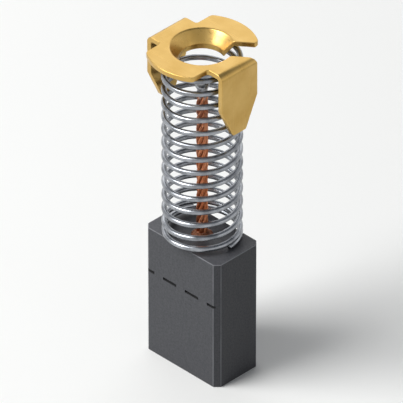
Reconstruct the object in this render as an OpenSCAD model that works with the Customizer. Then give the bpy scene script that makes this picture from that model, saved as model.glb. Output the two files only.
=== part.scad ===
// Carbon brush for a small commutator motor: a carbon block, a compression spring, a twisted
// copper pigtail and a pressed brass cap with two ears.
// The origin is the centre of the block's contact face. +Z runs from the contact face up to the
// cap, X runs from one ear of the cap to the other, and Y runs through the depth of the block.
// All sizes are in millimetres.

/* [Carbon block] */
// Width of the block, in the direction of the cap's ears
block_w = 11; // [9.5:0.5:14]
// Depth of the block
block_d = 6.5; // [5:0.5:9]
// Height of the block, before any wear
block_h = 16; // [11:0.5:22]
// Bevel on the four upright edges
block_bevel = 0.6; // [0.2:0.1:1]

/* [Wear line] */
// Distance of the wear line below the top of the block
wear_line_drop = 5.5; // [3:0.5:8]
// Length of one dash
dash_l = 2; // [1:0.1:3]
// Gap between two dashes
dash_gap = 1.3; // [0.6:0.1:2]
// Width of a dash at the surface
dash_w = 0.34; // [0.2:0.02:0.5]
// Depth of a dash
dash_depth = 0.2; // [0.1:0.05:0.3]

/* [Socket and tamped plug] */
// Diameter of the socket drilled into the block's top
socket_dia = 2.4; // [2:0.1:3]
// Thickness of powder under the rope's end
plug_floor = 1; // [0.5:0.25:2]
// Point angle of the drill that made the socket
drill_angle = 118; // [90:2:140]
// Height of the flared mound of powder above the block
mound_h = 0.5; // [0.3:0.1:0.9]

/* [Pigtail] */
// Diameter of one strand of the rope
strand_dia = 0.4; // [0.3:0.02:0.46]
// Length in which a strand goes once round the rope
rope_lay = 9; // [6:0.5:14]
// Length of rope held in the plug
rope_held = 5; // [3:0.5:5.5]
// Height over which the rope bends across to its solder joint
rope_bend_h = 8; // [5:0.5:12]

/* [Spring] */
// Outer diameter of the spring
spring_dia = 8.7; // [8.1:0.1:9.4]
// Diameter of the spring wire
wire_dia = 0.62; // [0.5:0.02:0.7]
// Free length of the spring, from the block to the cap
spring_l = 23.6; // [19:0.2:30]
// Number of working turns between the two closed end turns
working_turns = 13; // [9:1:16]

/* [Cap] */
// Thickness of the brass sheet
sheet_t = 0.6; // [0.4:0.05:0.8]
// Diameter of the cap's round flange
flange_dia = 12; // [11:0.2:14]
// Distance between the two flats of the flange
flange_w = 7; // [6:0.2:8]
// Radius on the corners of the flange
flange_corner_r = 0.6; // [0.3:0.1:0.8]
// Radius at the root of the relief notches
notch_r = 0.3; // [0.15:0.05:0.4]
// Diameter of the hole in the dish
hole_dia = 4.9; // [4.4:0.1:5.3]
// Height of the hole's round wall
hole_wall_h = 0.55; // [0.4:0.05:0.65]
// Slope of the dish's wall, from the flat
dish_slope = 54; // [46:1:60]
// Thickness of the dish's stretched wall
dish_wall = 0.4; // [0.34:0.02:0.44]
// Radius of the shoulder where the dish meets the flange
shoulder_r = 0.3; // [0.1:0.05:0.4]
// Width of the slot from the hole out through the rim
slot_w = 2.64; // [2:0.1:3]

/* [Ears] */
// Distance between the outer faces of the two ears
ear_span = 11.2; // [10.8:0.1:13]
// Width of an ear
ear_w = 5.3; // [4.6:0.1:6]
// Length of an ear, measured down from the top of the cap
ear_l = 8.3; // [6.5:0.1:10]
// Length of the ear's straight part, measured down from the top of the cap
ear_straight = 4.6; // [2.5:0.1:5.5]
// Width of the ear's tip
ear_tip_w = 1.9; // [1.4:0.1:3]
// Radius on the corners of the tip
ear_tip_r = 0.35; // [0.1:0.05:0.6]
// Inner radius of the bend between the flange and an ear
bend_in_r = 0.2; // [0.15:0.05:0.5]

/* [Solder joint] */
// Thickness of solder round the rope
bead_wall = 0.2; // [0.12:0.02:0.26]
// Thickness of solder over the rope's end
bead_cover = 0.2; // [0.1:0.05:0.4]
// Length of rope held in the bead
bead_hold = 1.2; // [0.8:0.1:2]
// Direction of the bead from the middle of the cap
bead_angle = -45; // [-70:5:-20]

/* [Fits] */
// Gap between the spring's bore and the root of the dish, all round
spring_fit = 0.22; // [0.1:0.02:0.3]
// Gap between the spring's bore and the solder bead
bead_fit = 0.2; // [0.1:0.02:0.3]
// Gap between two strands of the rope
strand_gap = 0.03; // [0.02:0.01:0.05]
// Gap that keeps seated pieces just clear of each other
seat_gap = 0.02; // [0.01:0.01:0.03]

/* [Hidden] */
$fn = 96;

// Segments on the small rounded corners, and on the long arc of the flange
corner_steps = 6;
arc_steps = 10;
// Extra reach of a cutting shape past the face that it cuts
cut = 1;

// Depth of the socket's round wall, which holds the rope and the powder under it
socket_depth = rope_held + plug_floor;
// Height of the cap's top face above the contact face
cap_top = block_h + spring_l + sheet_t;
// Half the flange's width and the radius of its round edge
flange_half = flange_w / 2;
flange_r = flange_dia / 2;
// Outer face of an ear, the outer radius of its bend, and the line where the bend begins
ear_x = ear_span / 2;
bend_r = sheet_t + bend_in_r;
bend_x = ear_x - bend_r;

// The dish: its wall is a cone that the spring's bore fits round
spring_bore_r = spring_dia / 2 - wire_dia;
hole_r = hole_dia / 2;
slope = tan(dish_slope);
wall_drop = dish_wall / cos(dish_slope);
dish_root_r = spring_bore_r - spring_fit;
dish_r = dish_root_r - (wall_drop - sheet_t) / slope;
dish_depth = (dish_r - hole_r) * slope;
lip_drop = dish_depth + hole_wall_h;
// Radius of the dish's underside at a depth below the cap's top
function dish_under_r(drop) = dish_r + (wall_drop - drop) / slope;
// The slot's near edge runs into the ear's upper corner
slot_angle = atan2(ear_w / 2, ear_x) + asin(slot_w / 2 / norm([ear_x, ear_w / 2]));

// The rope: one strand in the middle and six round it
strand_count = 6;
strand_r = strand_dia / 2;
// A strand lies aslant, so it takes up more than its own width round the rope
strand_slant = atan(2 * PI * strand_dia / rope_lay);
strand_orbit = strand_dia / cos(strand_slant) + strand_gap;
rope_r = strand_orbit + strand_r;
rope_bore_r = rope_r + seat_gap;
rope_foot = block_h - rope_held;
// The bead sits as far out as the spring's bore lets it
bead_r = rope_bore_r + bead_wall;
bead_x = spring_bore_r - bead_fit - bead_r;
rope_top = cap_top - lip_drop - bead_cover;
bead_foot = rope_top - bead_hold;
// The rope runs straight up to here, and is upright again at the bead's foot
rope_bend_top = bead_foot;
rope_bend_foot = rope_bend_top - rope_bend_h;

// The spring's centre line, from one closed end to the other
spring_r = (spring_dia - wire_dia) / 2;
spring_turns = working_turns + 2;
coil_l = spring_l - wire_dia - 2 * seat_gap;
end_pitch = wire_dia + seat_gap;
// Part of a turn in which the pitch grows from that of an end to that of the working turns
pitch_ease = 0.3;
pitch_gain = (coil_l - end_pitch * spring_turns) / (spring_turns - 2 - pitch_ease);

// Sides of the swept wires, and how many rings they have
wire_sides = 8;
rings_a_turn = 20;
strand_sides = 8;
rope_rings = 48;

// Points on an arc round a centre, from one angle to another
function arc(centre, r, from, to, steps) =
    [for (i = [0:steps]) centre + r * [cos(from + (to - from) * i / steps),
                                       sin(from + (to - from) * i / steps)]];
function reversed(list) = [for (i = [len(list) - 1:-1:0]) list[i]];
function mirrored(list, sx, sy) = [for (p = list) [sx * p[0], sy * p[1]]];
function unit(v) = v / norm(v);
// Eases from 0 to 1, with a level start and end
function ease(t) = t < 0 ? 0 : t > 1 ? 1 : t * t * (3 - 2 * t);

// A round wire swept along a path; each point has a direction that points away from its axis
module wire(path, outward, r, sides) {
    last = len(path) - 1;
    rings = [for (i = [0:last])
        let (along = unit(path[min(i + 1, last)] - path[max(i - 1, 0)]),
             side = unit(cross(along, outward[i])),
             out = cross(side, along))
        for (k = [0:sides - 1]) path[i] + r * (cos(k * 360 / sides) * out
                                             + sin(k * 360 / sides) * side)];
    walls = [for (i = [0:last - 1], k = [0:sides - 1])
        let (a = i * sides + k, b = i * sides + (k + 1) % sides)
        each [[a, a + sides, b], [b, a + sides, b + sides]]];
    foot = [for (k = [0:sides - 1]) k];
    head = [for (k = [sides - 1:-1:0]) last * sides + k];
    polyhedron(points = rings, faces = concat(walls, [foot, head]));
}

// Carbon block with bevelled upright edges, the wear line and the drilled socket
module carbon_block() {
    half_w = block_w / 2;
    half_d = block_d / 2;
    dash_pitch = dash_l + dash_gap;
    dashes_a_side = ceil(half_w / dash_pitch);
    color("dimgray")
    difference() {
        linear_extrude(block_h)
            polygon([
                [-half_w + block_bevel, -half_d], [half_w - block_bevel, -half_d],
                [half_w, -half_d + block_bevel], [half_w, half_d - block_bevel],
                [half_w - block_bevel, half_d], [-half_w + block_bevel, half_d],
                [-half_w, half_d - block_bevel], [-half_w, -half_d + block_bevel]]);
        for (i = [-dashes_a_side:dashes_a_side - 1])
            translate([(i + 0.5) * dash_pitch, -half_d, block_h - wear_line_drop]) dash();
        translate([0, 0, block_h - socket_depth]) {
            cylinder(d = socket_dia, h = socket_depth + cut);
            drill_tip(socket_dia / 2);
        }
    }
}

// One pressed dash of the wear line: a channel with sloping sides, centred on the surface
module dash() {
    floor_w = dash_w / 2;
    translate([-dash_l / 2, 0, 0])
    rotate([90, 0, 90])
    linear_extrude(dash_l)
        polygon([[-cut, -dash_w / 2], [0, -dash_w / 2], [dash_depth, -floor_w / 2],
                 [dash_depth, floor_w / 2], [0, dash_w / 2], [-cut, dash_w / 2]]);
}

// Cone left by the drill at the bottom of a hole of this radius, pointing down
module drill_tip(r) {
    tip_h = r / tan(drill_angle / 2);
    translate([0, 0, -tip_h]) cylinder(r1 = 0, r2 = r, h = tip_h);
}

// Copper powder tamped into the socket round the rope, with its mound on top
module tamping_plug() {
    plug_r = socket_dia / 2 - seat_gap;
    lip_r = rope_bore_r + 2 * seat_gap;
    tip_h = plug_r / tan(drill_angle / 2);
    color("peru")
    translate([0, 0, block_h])
    difference() {
        rotate_extrude()
            polygon(concat(
                [[0, -socket_depth - tip_h + seat_gap], [plug_r, -socket_depth + seat_gap]],
                [for (p = arc([0, 0], 1, 270, 180, corner_steps))
                    [plug_r + (plug_r - lip_r) * p[0], mound_h + mound_h * p[1]]],
                [[0, mound_h]]));
        translate([0, 0, -rope_held - seat_gap])
            cylinder(r = rope_bore_r, h = rope_held + mound_h + cut);
    }
}

// Centre line of the rope: upright in the plug, then across to the bead
function rope_shift(z) = bead_x * ease((z - rope_bend_foot) / rope_bend_h);
function rope_axis(z) = [rope_shift(z) * cos(bead_angle), rope_shift(z) * sin(bead_angle), z];
// Direction away from the rope's axis, square to it, at a height and an angle round the rope
function rope_out(z, turn) =
    let (step = 0.01,
         along = unit(rope_axis(z + step) - rope_axis(z - step)),
         across = [-sin(bead_angle), cos(bead_angle), 0],
         front = cross(across, along))
    cos(turn) * front + sin(turn) * across;

// One strand of the rope, at a distance from the rope's axis
module strand(orbit, start) {
    heights = [for (i = [0:rope_rings]) rope_foot + (rope_top - rope_foot) * i / rope_rings];
    turns = [for (z = heights) start + 360 * (z - rope_foot) / rope_lay];
    outward = [for (i = [0:rope_rings]) rope_out(heights[i], turns[i])];
    path = [for (i = [0:rope_rings]) rope_axis(heights[i]) + orbit * outward[i]];
    color("chocolate") wire(path, outward, strand_r, strand_sides);
}

module pigtail_core() { strand(0, 0); }
module pigtail_strand(number) { strand(strand_orbit, 360 / strand_count * number); }

// Height of the spring's centre line after a number of turns, the same from either end
function coil_rise(t) =
    let (worked = t - 1)
    end_pitch * t + pitch_gain * (worked < 0 ? 0
        : worked < pitch_ease ? worked * worked / (2 * pitch_ease) : worked - pitch_ease / 2);
function coil_z(t) = t <= spring_turns / 2 ? coil_rise(t) : coil_l - coil_rise(spring_turns - t);

// Compression spring with one closed turn at each end
module spring() {
    ring_count = spring_turns * rings_a_turn;
    turns = [for (i = [0:ring_count]) i / rings_a_turn];
    outward = [for (t = turns) [cos(360 * t), sin(360 * t), 0]];
    path = [for (i = [0:ring_count])
        spring_r * outward[i] + [0, 0, block_h + seat_gap + wire_dia / 2 + coil_z(turns[i])]];
    color("silver") wire(path, outward, wire_dia / 2, wire_sides);
}

// One quarter of the cap's flat outline, from the bend line round to the back of the flange
function cap_quarter() =
    let (corner_x = flange_half - flange_corner_r,
         corner_orbit = flange_r - flange_corner_r,
         corner_y = sqrt(corner_orbit * corner_orbit - corner_x * corner_x),
         corner_angle = atan2(corner_y, corner_x))
    concat(
        [[bend_x, ear_w / 2]],
        arc([flange_half + notch_r, ear_w / 2 + notch_r], notch_r, 270, 180, corner_steps),
        arc([corner_x, corner_y], flange_corner_r, 0, corner_angle, corner_steps),
        [for (i = [1:arc_steps])
            let (a = corner_angle + (90 - corner_angle) * i / arc_steps)
            flange_r * [cos(a), sin(a)]]);

// The flat blank of the cap between the two bend lines
module cap_outline() {
    quarter = cap_quarter();
    front = [for (i = [1:len(quarter) - 1]) reversed(quarter)[i]];
    polygon(concat(
        quarter, mirrored(front, -1, 1),
        mirrored(quarter, -1, -1), mirrored(front, 1, -1)));
}

// An ear with its bend, on the +X side, below the cap's top face
module ear() {
    tip_r = ear_tip_r;
    tip_half = ear_tip_w / 2;
    lean = atan2(ear_w / 2 - tip_half, ear_l - ear_straight);
    // Centre of the tip's round corner, which touches both the tip and the sloping edge
    tip_c = [tip_half - tip_r * tan(45 - lean / 2), -ear_l + tip_r];
    tip = arc(tip_c, tip_r, -90, -lean, corner_steps);
    edge = concat([[ear_w / 2, -bend_r], [ear_w / 2, -ear_straight]], reversed(tip));
    translate([bend_x, 0, -bend_r])
    rotate([90, 0, 0])
    rotate_extrude(angle = 90)
    translate([bend_r - sheet_t, -ear_w / 2]) square([sheet_t, ear_w]);
    translate([ear_x - sheet_t, 0, 0])
    rotate([90, 0, 90])
    linear_extrude(sheet_t) polygon(concat(edge, mirrored(reversed(edge), -1, 1)));
}

// Hollow of the dish: rounded shoulder, sloping wall and the hole
module dish_hollow() {
    shoulder_x = dish_r + shoulder_r * tan(dish_slope / 2);
    shoulder = arc([shoulder_x, -shoulder_r], shoulder_r, 90 + dish_slope, 90, corner_steps);
    rotate_extrude()
        polygon(concat(
            [[0, -lip_drop - cut], [hole_r, -lip_drop - cut], [hole_r, -dish_depth]],
            shoulder, [[shoulder_x, cut], [0, cut]]));
}

// Slot from the hole out through the rim; it also crosses the corner of one bend
module slot_cut() {
    rotate([0, 0, slot_angle]) {
        translate([0, -slot_w / 2, -lip_drop - cut])
            cube([dish_root_r + sheet_t, slot_w, lip_drop + 2 * cut]);
        translate([0, -slot_w / 2, -bend_r]) cube([flange_dia, slot_w, bend_r + cut]);
    }
}

// Pressed cap: flange, dish and two ears in one piece of sheet
module cap() {
    dish_top = sheet_t / 2;
    color("goldenrod")
    translate([0, 0, cap_top])
    difference() {
        union() {
            translate([0, 0, -sheet_t]) linear_extrude(sheet_t) cap_outline();
            translate([0, 0, -lip_drop])
                cylinder(r1 = dish_under_r(lip_drop), r2 = dish_under_r(dish_top),
                         h = lip_drop - dish_top);
            ear();
            mirror([1, 0, 0]) ear();
        }
        dish_hollow();
        slot_cut();
    }
}

// Bead of solder that holds the rope's end under the dish's lip
module solder_joint() {
    // The bead swells out from the rope, is widest at the lip, and closes in against the dish
    lip_h = bead_hold + bead_cover;
    neck_r = rope_bore_r + seat_gap;
    swell_h = lip_h * 0.7;
    crown_h = (lip_drop - sheet_t) * 0.8;
    color("lightgray")
    difference() {
        translate([bead_x * cos(bead_angle), bead_x * sin(bead_angle), bead_foot])
        difference() {
            rotate_extrude()
                polygon(concat(
                    [[0, 0]],
                    [for (p = arc([0, 0], 1, -90, 0, corner_steps))
                        [neck_r + (bead_r - neck_r) * p[0], swell_h + swell_h * p[1]]],
                    [for (p = arc([0, 0], 1, 0, 90, corner_steps))
                        [bead_r * p[0], lip_h + crown_h * p[1]]]));
            translate([0, 0, -cut]) cylinder(r = rope_bore_r, h = bead_hold + seat_gap + cut);
        }
        translate([0, 0, cap_top - lip_drop - seat_gap])
            cylinder(r1 = dish_under_r(lip_drop), r2 = dish_under_r(0), h = lip_drop);
    }
}

carbon_block();
tamping_plug();
pigtail_core();
for (i = [1:strand_count])
    pigtail_strand(i);
spring();
cap();
solder_joint();
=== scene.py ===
# Carbon brush: the finish of each piece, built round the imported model.
# Lengths are in metres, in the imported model's frame: the origin is the middle of the block's
# contact face, +Z runs up to the cap, and X runs from one ear of the cap to the other.
import math

import bmesh
import bpy
from mathutils import Matrix, Vector, noise


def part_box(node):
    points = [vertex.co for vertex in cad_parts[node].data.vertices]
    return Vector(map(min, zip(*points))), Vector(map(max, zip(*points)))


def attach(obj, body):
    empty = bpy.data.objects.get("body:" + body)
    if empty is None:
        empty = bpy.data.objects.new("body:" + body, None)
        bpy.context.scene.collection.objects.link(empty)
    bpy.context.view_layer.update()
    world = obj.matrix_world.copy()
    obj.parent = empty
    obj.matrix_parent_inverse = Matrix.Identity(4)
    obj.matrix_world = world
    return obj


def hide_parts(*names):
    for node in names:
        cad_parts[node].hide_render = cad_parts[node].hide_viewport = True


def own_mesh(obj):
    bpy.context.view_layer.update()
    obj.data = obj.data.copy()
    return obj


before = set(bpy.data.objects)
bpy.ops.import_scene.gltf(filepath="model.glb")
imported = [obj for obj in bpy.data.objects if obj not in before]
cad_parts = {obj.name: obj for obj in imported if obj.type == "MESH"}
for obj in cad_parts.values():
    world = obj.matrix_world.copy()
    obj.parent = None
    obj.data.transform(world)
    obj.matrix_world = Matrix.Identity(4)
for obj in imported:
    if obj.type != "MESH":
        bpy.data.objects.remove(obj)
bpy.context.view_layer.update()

# ---------------------------------------------------------------------------------------------
# Camera and light: a very long lens gives the parallel lines of an engineer's isometric view.
# A broad lamp at the front left lights the top and the wear-line face, and leaves the right
# face in shade; a strip on the right and a pale room draw the edges of the metal.
MM = 0.001
VIEW_AZIMUTH = math.radians(45)
VIEW_ELEVATION = math.atan(1 / math.sqrt(2))
LENS = 1.0
SENSOR = 0.036
FIELD = 42.78 * MM
AIM_HEIGHT = 20.22 * MM
AIM_LEFT = 0.07 * MM
FARTHEST_SEEN = 100

scene = bpy.context.scene
scene.view_settings.view_transform = "Standard"

view_back = Vector((
    math.sin(VIEW_AZIMUTH) * math.cos(VIEW_ELEVATION),
    -math.cos(VIEW_AZIMUTH) * math.cos(VIEW_ELEVATION),
    math.sin(VIEW_ELEVATION),
))
view_right = Vector((math.cos(VIEW_AZIMUTH), math.sin(VIEW_AZIMUTH), 0))
aim = Vector((0, 0, AIM_HEIGHT)) - view_right * AIM_LEFT
camera = bpy.data.objects.new("camera", bpy.data.cameras.new("camera"))
camera.data.sensor_width = SENSOR / MM
camera.data.lens = LENS / MM
camera.data.clip_end = FARTHEST_SEEN
camera.location = aim + view_back * (FIELD * LENS / SENSOR)
camera.rotation_euler = view_back.to_track_quat("Z", "Y").to_euler()
scene.collection.objects.link(camera)
scene.camera = camera


def linear(hex_colour):
    """Linear colour of an sRGB hex value, with a full alpha."""
    parts = [int(hex_colour[first:first + 2], 16) / 255 for first in (1, 3, 5)]
    return [part / 12.92 if part < 0.04045 else ((part + 0.055) / 1.055) ** 2.4
            for part in parts] + [1]


def add_node(tree, kind, inputs=None, stops=(), **settings):
    """Adds a node with its settings; an input given a socket is linked, any other is set.
    Stops are the two places and hex colours along a colour ramp."""
    node = tree.nodes.new("ShaderNode" + kind)
    for name, value in settings.items():
        setattr(node, name, value)
    for name, value in (inputs or {}).items():
        if isinstance(value, bpy.types.NodeSocket):
            tree.links.new(value, node.inputs[name])
        else:
            node.inputs[name].default_value = value
    for number, (place_along, hex_colour) in enumerate(stops):
        node.color_ramp.elements[number].position = place_along
        node.color_ramp.elements[number].color = linear(hex_colour)
    return node


def add_lamp(name, direction, distance, size, power):
    """A soft white lamp that faces the middle of the brush from a direction."""
    lamp = bpy.data.objects.new(name, bpy.data.lights.new(name, "AREA"))
    lamp.data.shape = "RECTANGLE"
    lamp.data.size, lamp.data.size_y = size
    lamp.data.energy = power
    towards = Vector(direction).normalized()
    lamp.location = Vector((0, 0, AIM_HEIGHT)) + towards * distance
    lamp.rotation_euler = towards.to_track_quat("Z", "Y").to_euler()
    scene.collection.objects.link(lamp)


add_lamp("key", direction=(-0.6, -1.0, 1.2), distance=0.6, size=(0.36, 0.36), power=3.9)
add_lamp("right_strip", direction=(1.0, 0.1, 0.25), distance=0.5, size=(0.05, 0.4), power=0.05)
add_lamp("back_panel", direction=(-0.58, 0.58, 0.6), distance=0.5, size=(0.6, 0.4), power=0.7)


def seen_rays(tree):
    """1 for the rays of the eye and of mirror images, 0 for the rays that carry soft light."""
    path = add_node(tree, "LightPath")
    mirrored = add_node(tree, "Math", {0: path.outputs["Is Glossy Ray"],
                                       1: path.outputs["Is Transmission Ray"]},
                        operation="MAXIMUM")
    return add_node(tree, "Math", {0: path.outputs["Is Camera Ray"], 1: mirrored.outputs[0]},
                    operation="MAXIMUM").outputs[0]


# The room is white at eye level and grey overhead, which the metal mirrors as a light band
# with a darker top; its soft light on the brush is weaker and a little blue.
scene.world = bpy.data.worlds.new("room")
scene.world.use_nodes = True
room = scene.world.node_tree
room.nodes.clear()
upward = add_node(room, "SeparateXYZ", {0: add_node(room, "TexCoord").outputs["Generated"]})
backdrop_tone = add_node(room, "ValToRGB", {"Fac": upward.outputs["Z"]},
                         stops=((0.25, "#ffffff"), (0.9, "#767b82")))
backdrop = add_node(room, "Background", {"Color": backdrop_tone.outputs[0], "Strength": 1.0})
soft_light = add_node(room, "Background", {"Color": linear("#e9edf2"), "Strength": 0.24})
shown = add_node(room, "MixShader", {0: seen_rays(room), 1: soft_light.outputs[0],
                                     2: backdrop.outputs[0]})
add_node(room, "OutputWorld", {"Surface": shown.outputs[0]})

# ---------------------------------------------------------------------------------------------
# Floor: a wide sheet of matt white card that the brush stands on. It takes the soft shadow
# and shows white in the metal, but throws back little light, so the shaded sides stay dark.
FLOOR_ACROSS = 3.0
# The sockets of a Mix node that carry colours
AMOUNT, FIRST, SECOND, BLENDED = 0, 6, 7, 2


def new_finish(name, constants):
    """A material with one Principled shader; gives the material, its tree and its shader."""
    material = bpy.data.materials.new(name)
    material.use_nodes = True
    tree = material.node_tree
    tree.nodes.clear()
    shader = add_node(tree, "BsdfPrincipled", constants)
    add_node(tree, "OutputMaterial", {"Surface": shader.outputs[0]})
    return material, tree, shader


def add_object(name, shape, finish):
    """Turns a bmesh into an object of one material, at the origin."""
    mesh = bpy.data.meshes.new(name)
    shape.to_mesh(mesh)
    shape.free()
    mesh.materials.append(finish)
    made = bpy.data.objects.new(name, mesh)
    scene.collection.objects.link(made)
    return made


# Matt card: no shine at all, so the brush has a shadow but no mirror image under it.
card, tree, shader = new_finish("matt_white_card", {"Roughness": 0.9, "Specular IOR Level": 0.1})
card_tone = add_node(tree, "Mix", {AMOUNT: seen_rays(tree), FIRST: linear("#8c8c8a"),
                                   SECOND: linear("#f6f6f4")}, data_type="RGBA")
tree.links.new(card_tone.outputs[BLENDED], shader.inputs["Base Color"])

floor_shape = bmesh.new()
bmesh.ops.create_grid(floor_shape, x_segments=1, y_segments=1, size=FLOOR_ACROSS / 2)
add_object("floor", floor_shape, card)

# ---------------------------------------------------------------------------------------------
# Carbon block: carbon-graphite powder pressed in a die and fired, then ground to size on its
# sides. The bevelled corners and the dashed wear line come from the die.
BLOCK_EDGE = 0.07 * MM
BLOCK_SHARP = math.radians(25)
WEAR_LINE_DROP = 5.5 * MM
DASH_REACH = 0.2 * MM
GRAIN = 0.22 * MM
BLOTCH = 3 * MM
GRINDING = 0.12 * MM
GRINDING_STRETCH = 0.04
SAME_POINT = 0.003 * MM
SAME_PLANE = math.radians(0.6)
# Past 50, a large face outweighs a small one where the two share a normal
LARGE_FACE_WEIGHT = 60


def merged_copy(node):
    """The node's own shape as whole faces: its loose triangles merged and flat ones joined."""
    shape = bmesh.new()
    shape.from_mesh(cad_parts[node].data)
    bmesh.ops.remove_doubles(shape, verts=shape.verts, dist=SAME_POINT)
    bmesh.ops.dissolve_limit(shape, angle_limit=SAME_PLANE, verts=shape.verts,
                             edges=shape.edges)
    return shape


def round_edges(shape, radius, above, segments, left_sharp):
    """Rounds the edges that turn more than an angle, and gives the narrow faces this makes.
    The edges left sharp are marked so for the shading."""
    turning = {edge for edge in shape.edges if edge.calc_face_angle(0) > above}
    for edge in turning & left_sharp:
        edge.smooth = False
    rounded = [edge for edge in shape.edges if edge in turning - left_sharp]
    return bmesh.ops.bevel(shape, geom=rounded, offset=radius, offset_type="OFFSET",
                           segments=segments, profile=0.5, affect="EDGES",
                           clamp_overlap=False, material=-1)["faces"]


def fit_piece(name, shape, finish, body):
    """Makes a smooth-shaded piece that rides on a body."""
    piece = add_object(name, shape, finish)
    piece.data.polygons.foreach_set("use_smooth", [True] * len(piece.data.polygons))
    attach(piece, body)
    return piece


def keep_flats(piece):
    """Keeps flat faces flat in the shading while their narrow rounded edges stay smooth."""
    weighted = piece.modifiers.new("flat_faces", "WEIGHTED_NORMAL")
    weighted.weight = LARGE_FACE_WEIGHT
    weighted.keep_sharp = True


# Ground carbon-graphite: near-black with a fine grey grain and a dull, silky shine along the
# grinding; the rounded edges are painted a lighter grey in patches, partly as wear and partly
# as a painted highlight, and the pressed dashes are painted near-black, partly as their
# unground skin and partly as painted shade in the grooves.
# The grain and the grinding are some ten times as coarse as real ones, so that they show.
carbon, tree, shader = new_finish("ground_carbon_graphite", {"Specular IOR Level": 0.3})
place = add_node(tree, "TexCoord").outputs["Object"]
grains = add_node(tree, "TexNoise", {"Vector": place, "Scale": 1 / GRAIN, "Detail": 6.0,
                                     "Roughness": 0.7})
grain_tone = add_node(tree, "ValToRGB", {"Fac": grains.outputs["Fac"]},
                      stops=((0.3, "#424347"), (0.75, "#5b5c60")))
blotches = add_node(tree, "TexNoise", {"Vector": place, "Scale": 1 / BLOTCH, "Detail": 3.0})
# The lighter edge grey is partly wear and partly a painted highlight along the rounded edges.
rubbed_and_highlight = add_node(tree, "Attribute", attribute_name="rubbed_and_highlight")
patchy_rub_and_highlight = add_node(tree, "Math", {0: rubbed_and_highlight.outputs["Fac"], 1: blotches.outputs["Fac"]},
                      operation="MULTIPLY")
worn_and_highlight_tone = add_node(tree, "Mix", {AMOUNT: patchy_rub_and_highlight.outputs[0], FIRST: grain_tone.outputs[0],
                                   SECOND: linear("#97989d")}, data_type="RGBA")
# The dashes are painted near-black: partly their unground skin, partly painted shade in the
# grooves.
pressed_in_and_shade = add_node(tree, "Attribute", attribute_name="pressed_in_and_shade")
carbon_tone = add_node(tree, "Mix", {AMOUNT: pressed_in_and_shade.outputs["Fac"],
                                     FIRST: worn_and_highlight_tone.outputs[BLENDED],
                                     SECOND: linear("#141415")}, data_type="RGBA")
tree.links.new(carbon_tone.outputs[BLENDED], shader.inputs["Base Color"])
ground_way = add_node(tree, "Mapping", {"Vector": place, "Scale": (1, 1, GRINDING_STRETCH)})
ground_lines = add_node(tree, "TexNoise", {"Vector": ground_way.outputs[0],
                                           "Scale": 1 / GRINDING, "Detail": 2.0})
silk = add_node(tree, "MapRange", {"Value": ground_lines.outputs["Fac"], "From Min": 0.3,
                                   "From Max": 0.7, "To Min": 0.4, "To Max": 0.56})
tree.links.new(silk.outputs[0], shader.inputs["Roughness"])
pits = add_node(tree, "Bump", {"Height": grains.outputs["Fac"], "Distance": 0.03 * MM,
                               "Strength": 0.5})
tree.links.new(pits.outputs[0], shader.inputs["Normal"])

block_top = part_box("carbon_block")[1].z
wear_line = block_top - WEAR_LINE_DROP
block_shape = merged_copy("carbon_block")
rub_and_highlight_mark = block_shape.faces.layers.float.new("rubbed_and_highlight")
dash_shade_mark = block_shape.faces.layers.float.new("pressed_in_and_shade")
dash_edges = {edge for edge in block_shape.edges
              if all(abs(vert.co.z - wear_line) < DASH_REACH for vert in edge.verts)}
# Faces inside the dashes are painted near-black, partly as painted shade in the grooves.
for face in block_shape.faces:
    face[dash_shade_mark] = 1 if dash_edges.issuperset(face.edges) else 0
# The rounded edge faces are painted lighter: partly wear, partly a painted highlight.
for face in round_edges(block_shape, BLOCK_EDGE, above=BLOCK_SHARP, segments=2,
                        left_sharp=dash_edges):
    face[rub_and_highlight_mark] = 1
    face[dash_shade_mark] = 0
block = fit_piece("carbon_block_ground", block_shape, carbon, "block")
keep_flats(block)
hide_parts("carbon_block")

# ---------------------------------------------------------------------------------------------
# Tamped plug: copper powder rammed into the block's socket round the foot of the rope, which
# it grips. Only its rough mound shows, crumbled where it climbs the strands.
PLUG_EASE = 0.02 * MM
SOCKET_BOTTOM_SLOPE = 0.7 * MM
MOUND_NECK = 0.68 * MM
MOUND_STEPS = 14
PLUG_SIDES = 72
CRUMB = 0.16 * MM
CRUMB_HEIGHT = 0.07 * MM
POLE = 0.001 * MM

# Tamped copper powder: a dark, crumbly copper brown with brighter grains and almost no shine.
# Its grains are drawn about twice as coarse as real powder, so that they show.
powder, tree, shader = new_finish("tamped_copper_powder", {"Metallic": 0.6, "Roughness": 0.65})
place = add_node(tree, "TexCoord").outputs["Object"]
crumbs = add_node(tree, "TexNoise", {"Vector": place, "Scale": 1 / CRUMB, "Detail": 5.0})
crumb_tone = add_node(tree, "ValToRGB", {"Fac": crumbs.outputs["Fac"]},
                      stops=((0.35, "#6b4433"), (0.7, "#b87a58")))
tree.links.new(crumb_tone.outputs[0], shader.inputs["Base Color"])
lumps = add_node(tree, "Bump", {"Height": crumbs.outputs["Fac"], "Distance": 0.05 * MM,
                                "Strength": 0.8})
tree.links.new(lumps.outputs[0], shader.inputs["Normal"])


def turned(shape, profile, sides):
    """Turns a profile, given as radius and height from pole to pole, into a closed round."""
    verts = [shape.verts.new((radius, 0, height)) for radius, height in profile]
    edges = [shape.edges.new(pair) for pair in zip(verts, verts[1:])]
    bmesh.ops.spin(shape, geom=verts + edges, axis=(0, 0, 1), cent=(0, 0, 0),
                   angle=math.tau, steps=sides, use_merge=True)
    bmesh.ops.remove_doubles(shape, verts=shape.verts, dist=POLE)


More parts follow.
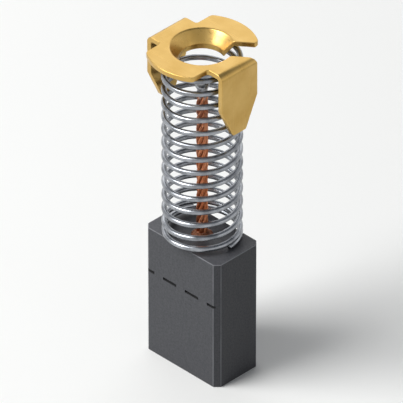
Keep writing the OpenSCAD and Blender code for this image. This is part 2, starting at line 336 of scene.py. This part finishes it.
plug_low, plug_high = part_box("tamping_plug")
plug_radius = plug_high.x - PLUG_EASE
mound_profile = [(0, plug_low.z), (plug_radius, plug_low.z + SOCKET_BOTTOM_SLOPE)]
for step in range(MOUND_STEPS + 1):
    climb = math.radians(90) * step / MOUND_STEPS
    mound_profile.append((plug_radius - (plug_radius - MOUND_NECK) * math.sin(climb),
                          block_top + (plug_high.z - block_top) * (1 - math.cos(climb))))
mound_profile.append((0, plug_high.z))
plug_shape = bmesh.new()
turned(plug_shape, mound_profile, PLUG_SIDES)
for vert in plug_shape.verts:
    above_block = vert.co.z - block_top
    if above_block > 0:
        lump = CRUMB_HEIGHT * noise.noise(vert.co / CRUMB) * min(above_block / CRUMB_HEIGHT, 1)
        vert.co.z = min(vert.co.z + lump, plug_high.z)
bmesh.ops.recalc_face_normals(plug_shape, faces=plug_shape.faces)
plug = fit_piece("tamped_powder", plug_shape, powder, "block")
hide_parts("tamping_plug")

# ---------------------------------------------------------------------------------------------
# Pigtail: a rope of seven strands, six laid right-handed round a middle one, each a bunch of
# fine copper wires twisted the other way. It is tamped upright into the block, leans across
# inside the spring to its solder joint under the cap's lip, and gives way to a press.
STRANDS_ROUND = 6
STRAND = 0.4 * MM
STRAND_GAP = 0.03 * MM
ROPE_LAY = 9 * MM
# Seven wires to a strand stand in for some dozens of finer ones
WIRES_IN_STRAND = 7
WIRE_LAY = 4.5 * MM
WIRE_PITCH = STRAND / 3
WIRE_FILL = 0.96
WIRE_SIDES = 8
ROPE_STEPS = 72
ROPE_BEND = 8 * MM
BEAD_HOLD = 1.2 * MM
TIN_CREEP = 1.1 * MM
TIN_RAGGED = 0.25
TARNISH = 1.5 * MM

core_low, core_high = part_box("pigtail_core")
rope_foot, rope_top = core_low.z, core_high.z
bead_low, bead_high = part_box("solder_joint")
bead_axis = Vector(((bead_low.x + bead_high.x) / 2, (bead_low.y + bead_high.y) / 2, 0))
lean_way = bead_axis.normalized()
lean_across = Vector((-lean_way.y, lean_way.x, 0))
bend_end = rope_top - BEAD_HOLD
bend_start = bend_end - ROPE_BEND

# Bare drawn copper: soft pink-orange metal, a little dulled where it has tarnished, and
# silver-white where the molten solder has crept down between the wires.
copper, tree, shader = new_finish("drawn_copper_wire", {"Metallic": 1.0, "Roughness": 0.32})
place = add_node(tree, "TexCoord").outputs["Object"]
tarnish = add_node(tree, "TexNoise", {"Vector": place, "Scale": 1 / TARNISH, "Detail": 4.0})
copper_tone = add_node(tree, "ValToRGB", {"Fac": tarnish.outputs["Fac"]},
                       stops=((0.35, "#c4764d"), (0.7, "#eba67e")))
tinned = add_node(tree, "Attribute", attribute_name="tinned")
wetted_tone = add_node(tree, "Mix", {AMOUNT: tinned.outputs["Fac"],
                                     FIRST: copper_tone.outputs[0],
                                     SECOND: linear("#c3c4c7")}, data_type="RGBA")
tree.links.new(wetted_tone.outputs[BLENDED], shader.inputs["Base Color"])


def start_wire(shape, radius, sides, where):
    """A filled ring that a wire is drawn from; gives the verts and edges to draw."""
    ring = bmesh.ops.create_circle(shape, segments=sides, radius=radius, cap_ends=True,
                                   matrix=where)["verts"]
    return ring + list({edge for vert in ring for edge in vert.link_edges})


def end_wire(shape, drawn_to):
    """Closes the far end of a wire."""
    rim = [part for part in drawn_to if isinstance(part, bmesh.types.BMEdge)]
    bmesh.ops.contextual_create(shape, geom=rim)


def rope_axis(height):
    """Middle of the rope at a height, and the direction that its front side faces.
    The lean is an S curve, 3t^2 - 2t^3, and its slope is 6t - 6t^2."""
    eased = min(max((height - bend_start) / ROPE_BEND, 0), 1)
    shift = bead_axis.length * eased * eased * (3 - 2 * eased)
    slope = bead_axis.length * 6 * eased * (1 - eased) / ROPE_BEND
    along = (lean_way * slope + Vector((0, 0, 1))).normalized()
    return lean_way * shift + Vector((0, 0, height)), lean_across.cross(along)


def laid_strand(orbit, start):
    """One twisted strand, laid round the rope's axis and bent along it."""
    strand = bmesh.new()
    length = rope_top - rope_foot
    for number in range(WIRES_IN_STRAND):
        turn = math.tau * number / (WIRES_IN_STRAND - 1)
        off_middle = WIRE_PITCH if number else 0
        where = Vector((math.cos(turn) * off_middle, math.sin(turn) * off_middle, rope_foot))
        wire = start_wire(strand, WIRE_PITCH / 2 * WIRE_FILL, WIRE_SIDES,
                          Matrix.Translation(where))
        wire = bmesh.ops.spin(strand, geom=wire, axis=(0, 0, 1), cent=(0, 0, 0),
                              angle=-math.tau * length / WIRE_LAY, steps=ROPE_STEPS,
                              dvec=(0, 0, length / ROPE_STEPS))["geom_last"]
        end_wire(strand, wire)
    tin_mark = strand.verts.layers.float.new("tinned")
    for vert in strand.verts:
        height = vert.co.z
        ragged = noise.noise(vert.co / STRAND) * TIN_CREEP * TIN_RAGGED
        wetting = (height + ragged - bend_end + TIN_CREEP) / (TIN_CREEP * TIN_RAGGED)
        vert[tin_mark] = min(max(wetting, 0), 1)
        turn = start + math.tau * (height - rope_foot) / ROPE_LAY
        laid = Vector((vert.co.x + orbit, vert.co.y, 0))
        laid.rotate(Matrix.Rotation(turn, 3, "Z"))
        middle, front = rope_axis(height)
        vert.co = middle + front * laid.x + lean_across * laid.y
    bmesh.ops.recalc_face_normals(strand, faces=strand.faces)
    return strand


strand_slant = math.atan(math.tau * STRAND / ROPE_LAY)
strand_orbit = STRAND / math.cos(strand_slant) + STRAND_GAP
strand_nodes = {"copper_core_strand": "pigtail_core"}
for number in range(1, STRANDS_ROUND + 1):
    strand_nodes["copper_strand_%d" % number] = "pigtail_strand_%d" % number
for number, (name, node) in enumerate(strand_nodes.items()):
    strand_shape = laid_strand(strand_orbit if number else 0,
                               math.tau * number / STRANDS_ROUND)
    strand = fit_piece(name, strand_shape, copper, "block")
    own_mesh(strand)
    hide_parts(node)

# ---------------------------------------------------------------------------------------------
# Spring: hard-drawn steel wire coiled right-handed, with one closed turn at each end. It
# stands on the block, carries the cap, and closes up when the cap is pressed.
SPRING_WIRE = 0.62 * MM
SPRING_WIRE_SIDES = 16
TURN_STEPS = 48
WORKING_TURNS = 13
CLOSED_TURNS = 2
CLOSED_GAP = 0.02 * MM
EASE_STEPS = 14
OIL_STAIN = 1.2 * MM
DRAW_LINE = 0.09 * MM
DRAW_STRETCH = 0.02

# Hard-drawn steel: bright grey with long draw lines from the die, which break the highlights
# along the wire, and a faint darker film of oil. The lines are drawn some ten times too wide,
# so that they show.
steel, tree, shader = new_finish("hard_drawn_spring_steel", {"Metallic": 1.0})
place = add_node(tree, "TexCoord").outputs["Object"]
film = add_node(tree, "TexNoise", {"Vector": place, "Scale": 1 / OIL_STAIN, "Detail": 5.0})
steel_tone = add_node(tree, "ValToRGB", {"Fac": film.outputs["Fac"]},
                      stops=((0.3, "#74777c"), (0.65, "#a6a9ae")))
tree.links.new(steel_tone.outputs[0], shader.inputs["Base Color"])
wire_place = add_node(tree, "Attribute", attribute_name="wire_place")
draw_way = add_node(tree, "Mapping", {"Vector": wire_place.outputs["Vector"],
                                      "Scale": (1, 1, DRAW_STRETCH)})
draw_lines = add_node(tree, "TexNoise", {"Vector": draw_way.outputs[0],
                                         "Scale": 1 / DRAW_LINE, "Detail": 2.0})
draw_gloss = add_node(tree, "MapRange", {"Value": draw_lines.outputs["Fac"], "From Min": 0.3,
                                         "From Max": 0.7, "To Min": 0.2, "To Max": 0.34})
tree.links.new(draw_gloss.outputs[0], shader.inputs["Roughness"])
scores = add_node(tree, "Bump", {"Height": draw_lines.outputs["Fac"], "Distance": 0.006 * MM,
                                 "Strength": 0.5})
tree.links.new(scores.outputs[0], shader.inputs["Normal"])

spring_low, spring_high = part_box("spring")
coil_radius = (spring_high.x - spring_low.x) / 2 - SPRING_WIRE / 2
coil_rise = spring_high.z - spring_low.z - SPRING_WIRE
closed_pitch = SPRING_WIRE + CLOSED_GAP
# The pitch grows evenly over an easing, so the two easings together lose one easing's turns
ease_turns = EASE_STEPS / TURN_STEPS
open_gain = ((coil_rise - closed_pitch * (WORKING_TURNS + CLOSED_TURNS))
             / (WORKING_TURNS - ease_turns))
half_pitches = [closed_pitch] * TURN_STEPS
for step in range(EASE_STEPS):
    half_pitches.append(closed_pitch + open_gain * (step + 0.5) / EASE_STEPS)
half_pitches += [closed_pitch + open_gain] * (WORKING_TURNS * TURN_STEPS // 2 - EASE_STEPS)

coil_shape = bmesh.new()
wire_mark = coil_shape.verts.layers.float_vector.new("wire_place")
wire_height = spring_low.z + SPRING_WIRE / 2
wire_length = 0
upright_ring = (Matrix.Translation((coil_radius, 0, wire_height))
                @ Matrix.Rotation(math.radians(90), 4, "X"))
wire = start_wire(coil_shape, SPRING_WIRE / 2, SPRING_WIRE_SIDES, upright_ring)
for pitch in [0] + half_pitches + half_pitches[::-1]:
    if pitch:
        wire = bmesh.ops.spin(coil_shape, geom=wire, axis=(0, 0, 1), cent=(0, 0, 0),
                              angle=math.tau / TURN_STEPS, steps=1,
                              dvec=(0, 0, pitch / TURN_STEPS))["geom_last"]
        wire_height += pitch / TURN_STEPS
        wire_length += math.tau * coil_radius / TURN_STEPS
    for part in wire:
        if isinstance(part, bmesh.types.BMVert):
            part[wire_mark] = (part.co.xy.length - coil_radius, part.co.z - wire_height,
                               wire_length)
end_wire(coil_shape, wire)
bmesh.ops.recalc_face_normals(coil_shape, faces=coil_shape.faces)
spring = fit_piece("steel_spring", coil_shape, steel, "block")
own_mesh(spring)
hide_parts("spring")

# ---------------------------------------------------------------------------------------------
# Cap: one pressing of brass sheet: blanked, dished round its hole, slotted, and its two ears
# bent down. Its edges are softened by tumbling.
CAP_EDGE = 0.08 * MM
CAP_SHARP = math.radians(32)
SHEET = 0.6 * MM
BEND_IN = 0.2 * MM
BEND_START = 4.8 * MM
EAR_HALF_WIDTH = 2.65 * MM
LIP_DROP = 1.93 * MM
LIP_NEAR = 0.05 * MM
DISH_REACH = 4 * MM
ROLLING = 0.2 * MM
ROLLING_STRETCH = 0.04
CLOUD = 2.5 * MM

# Tumbled brass sheet: warm yellow metal with a satin shine. Lines from the rolling mill run
# along the strip and turn down the ears with it, drawn some ten times too wide to show, and
# faint clouds of tarnish lie over them.
brass, tree, shader = new_finish("tumbled_brass_sheet", {"Metallic": 1.0})
place = add_node(tree, "TexCoord").outputs["Object"]
clouds = add_node(tree, "TexNoise", {"Vector": place, "Scale": 1 / CLOUD, "Detail": 5.0})
brass_tone = add_node(tree, "ValToRGB", {"Fac": clouds.outputs["Fac"]},
                      stops=((0.3, "#c29d56"), (0.7, "#d0ad68")))
tree.links.new(brass_tone.outputs[0], shader.inputs["Base Color"])
flat_place = add_node(tree, "Attribute", attribute_name="flat_blank")
rolled_way = add_node(tree, "Mapping", {"Vector": flat_place.outputs["Vector"],
                                        "Scale": (ROLLING_STRETCH, 1, 1)})
rolled_lines = add_node(tree, "TexNoise", {"Vector": rolled_way.outputs[0],
                                           "Scale": 1 / ROLLING, "Detail": 3.0})
sheen = add_node(tree, "MapRange", {"Value": rolled_lines.outputs["Fac"], "From Min": 0.3,
                                    "From Max": 0.7, "To Min": 0.26, "To Max": 0.37})
tree.links.new(sheen.outputs[0], shader.inputs["Roughness"])
scuffs = add_node(tree, "Bump", {"Height": rolled_lines.outputs["Fac"],
                                 "Distance": 0.01 * MM, "Strength": 0.3})
tree.links.new(scuffs.outputs[0], shader.inputs["Normal"])

cap_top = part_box("cap")[1].z
lip_height = cap_top - LIP_DROP
bend_height = cap_top - SHEET - BEND_IN
ear_start = BEND_START + math.radians(90) * (BEND_IN + SHEET / 2)
cap_shape = merged_copy("cap")


def flat_blank_place(point):
    """Where a point of the pressed cap lay on the flat strip before its ears were bent."""
    outside = abs(point.x) - BEND_START
    if outside < 0 or abs(point.y) > EAR_HALF_WIDTH:
        return point
    if point.z > bend_height:
        bent = math.atan2(outside, point.z - bend_height)
        reach = BEND_START + bent * (BEND_IN + SHEET / 2)
    else:
        reach = ear_start + bend_height - point.z
    return Vector((math.copysign(reach, point.x), point.y, 0))


def at_thin_lip(point):
    """Says whether a point is on the underside of the dish's lip, too thin to round."""
    return point.z < lip_height + LIP_NEAR and point.xy.length < DISH_REACH


def in_bend_corner(point):
    """Says whether a point is in the tight corner where the slot crosses the bend."""
    return (abs(point.x) > BEND_START - LIP_NEAR and abs(point.y) < EAR_HALF_WIDTH - LIP_NEAR
            and bend_height - SAME_POINT < point.z < cap_top - SHEET + SAME_POINT)


left_sharp = {edge for edge in cap_shape.edges
              if any(at_thin_lip(vert.co) for vert in edge.verts)
              or all(in_bend_corner(vert.co) for vert in edge.verts)}
round_edges(cap_shape, CAP_EDGE, above=CAP_SHARP, segments=3, left_sharp=left_sharp)
blank_mark = cap_shape.verts.layers.float_vector.new("flat_blank")
for vert in cap_shape.verts:
    vert[blank_mark] = flat_blank_place(vert.co)
cap = fit_piece("brass_cap", cap_shape, brass, "cap")
keep_flats(cap)
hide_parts("cap")

# ---------------------------------------------------------------------------------------------
# Solder joint: a bead of tin solder, melted round the rope's end. It swells out from the rope,
# lies flat against the dish's lip and climbs a little up the outside of its sloping wall.
BEAD_STEPS = 10
BEAD_SIDES = 40
BEAD_SWELL = 0.7
LIP_RADIUS = 2.545 * MM
LIP_GAP = 0.02 * MM
DISH_SLOPE = math.radians(54)
RIPPLE = 0.6 * MM
RIPPLE_HEIGHT = 0.025 * MM
CHILL = 0.5 * MM

# Tin solder: the palest metal of the brush, a soft silver that shines like a cooled drop, with
# slightly greyer patches where it chilled first.
solder, tree, shader = new_finish("tin_solder", {"Metallic": 1.0, "Roughness": 0.3})
place = add_node(tree, "TexCoord").outputs["Object"]
chill = add_node(tree, "TexNoise", {"Vector": place, "Scale": 1 / CHILL, "Detail": 3.0})
solder_tone = add_node(tree, "ValToRGB", {"Fac": chill.outputs["Fac"]},
                       stops=((0.0, "#a9abae"), (1.0, "#d5d6d8")))
tree.links.new(solder_tone.outputs[0], shader.inputs["Base Color"])

bead_radius = (bead_high.x - bead_low.x) / 2 - RIPPLE_HEIGHT
bead_neck = strand_orbit + STRAND / 2
bead_profile = [(0, bead_low.z)]
for step in range(BEAD_STEPS + 1):
    swell = math.radians(90) * step / BEAD_STEPS
    bead_profile.append((bead_neck + (bead_radius - bead_neck) * math.sin(swell),
                         bead_low.z + (lip_height - bead_low.z) * BEAD_SWELL
                         * (1 - math.cos(swell))))
for step in range(BEAD_STEPS + 1):
    dome = math.radians(90) * step / BEAD_STEPS
    bead_profile.append((bead_radius * math.cos(dome),
                         lip_height + (bead_high.z - lip_height) * math.sin(dome)))
bead_shape = bmesh.new()
turned(bead_shape, bead_profile, BEAD_SIDES)
bmesh.ops.translate(bead_shape, verts=bead_shape.verts, vec=bead_axis)
for vert in bead_shape.verts:
    ripple = RIPPLE_HEIGHT * noise.noise(vert.co / RIPPLE)
    outward = vert.co - bead_axis - Vector((0, 0, vert.co.z))
    vert.co += outward.normalized() * ripple
    past_lip = max(vert.co.xy.length - LIP_RADIUS, 0)
    vert.co.z = min(vert.co.z, lip_height - LIP_GAP + past_lip * math.tan(DISH_SLOPE))
bmesh.ops.recalc_face_normals(bead_shape, faces=bead_shape.faces)
bead = fit_piece("solder_bead", bead_shape, solder, "cap")
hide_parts("solder_joint")
